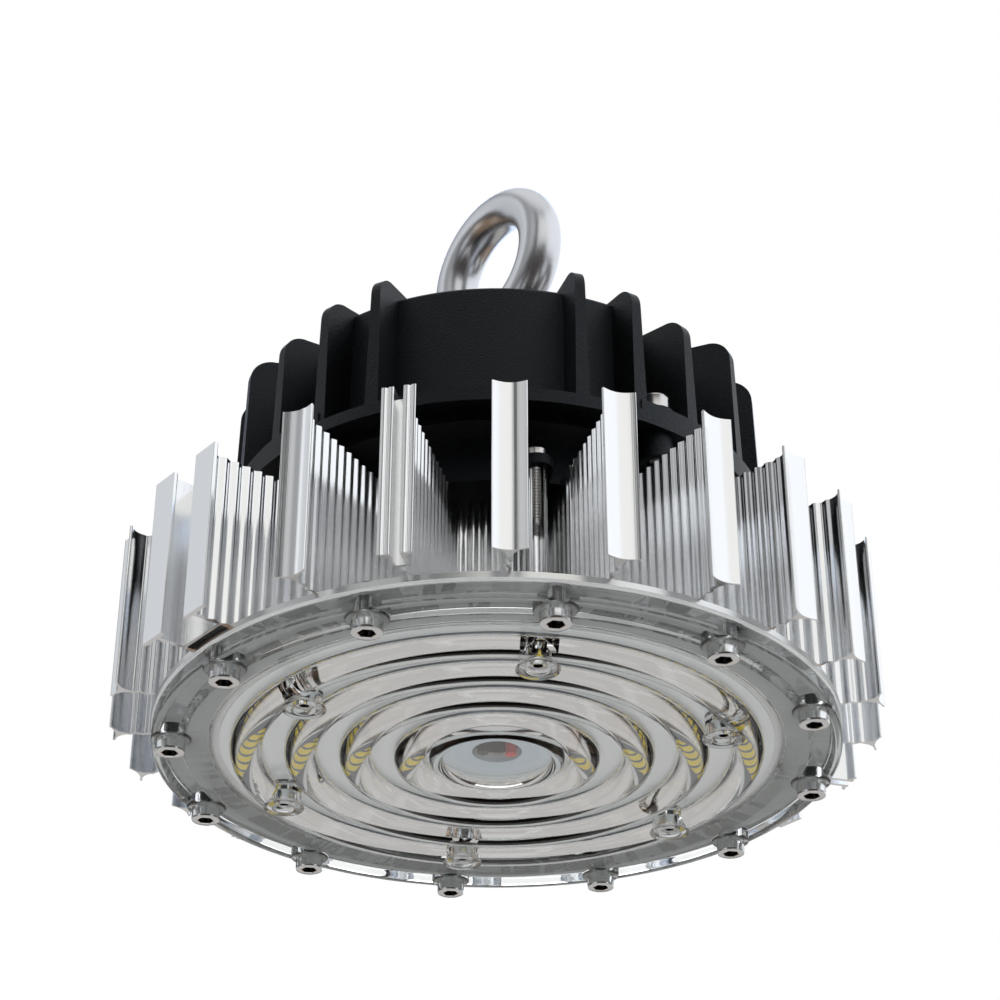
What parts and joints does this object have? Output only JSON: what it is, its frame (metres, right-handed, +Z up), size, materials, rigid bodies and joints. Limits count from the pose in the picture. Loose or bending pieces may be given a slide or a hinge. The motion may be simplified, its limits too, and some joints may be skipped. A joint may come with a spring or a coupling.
{
  "type": "high bay light",
  "caption": "Round hanging industrial LED lamp: radial finned aluminium heat sink, clear ring lens below, black ribbed driver housing and lifting eye above.",
  "frame": {"origin": "on the lamp's axis, in the plane of its lowest faces (lens screw heads and cup rims)", "axes": "+Z up along the lamp's axis towards the lifting eye; -Y is azimuth 0, the azimuth of one lens screw and of one heat sink screw port"},
  "size_m": [0.2618, 0.2618, 0.2469],
  "materials": {
    "clear_polycarbonate": "clear, high gloss",
    "silicone": "matt, pale grey",
    "plated_screws": "zinc plated, bright",
    "stainless_screws": "plain stainless, fine turned marks",
    "white_board": "white solder mask on aluminium, satin",
    "phosphor": "yellow phosphor in white packages",
    "plate_aluminium": "machined rim, bright",
    "fin_aluminium": "extruded, bright natural finish",
    "black_casting": "black powder coat, fine texture",
    "black_rubber": "matt",
    "red_wire": "satin silicone sleeve",
    "black_wire": "satin silicone sleeve",
    "cover_sheet": "dull, dark anodised",
    "circuit_board": "green solder mask",
    "transformer_tape": "yellow tape on a dark ferrite core",
    "capacitor_sleeve": "shrink sleeve",
    "choke_ferrite": "coated ferrite",
    "spreader_aluminium": "plain",
    "transistor_resin": "matt",
    "forged_eye": "zinc plated forging",
    "gland_nylon": "black nylon"
  },
  "bodies": {
    "root": {"lens": "clear_polycarbonate", "lens_gasket": "silicone", "lens_screws": "plated_screws", "cup_screws": "plated_screws", "led_board": "white_board", "base_plate": "plate_aluminium", "heat_sink": "fin_aluminium", "adapter_pan": "black_casting", "pan_screws": "stainless_screws", "wire_grommet": "black_rubber", "wire_black": "black_wire", "wire_red": "red_wire", "driver_housing": "black_casting", "housing_screws": "stainless_screws", "driver_gasket": "black_rubber", "driver_cover": "cover_sheet", "driver_circuit": "circuit_board", "transformer": "transformer_tape", "capacitors": "capacitor_sleeve", "choke": "choke_ferrite", "heat_spreader": "spreader_aluminium", "power_transistors": "transistor_resin", "eye_bolt": "forged_eye", "eye_washer": "plated_screws", "eye_nut": "plated_screws", "gland_body": "gland_nylon", "gland_cap": "gland_nylon", "gland_seal": "black_rubber", "gland_locknut": "gland_nylon", "led_ring_1": "phosphor", "led_ring_2": "phosphor", "led_ring_3": "phosphor", "led_ring_4": "phosphor"}
  },
  "joints": []
}
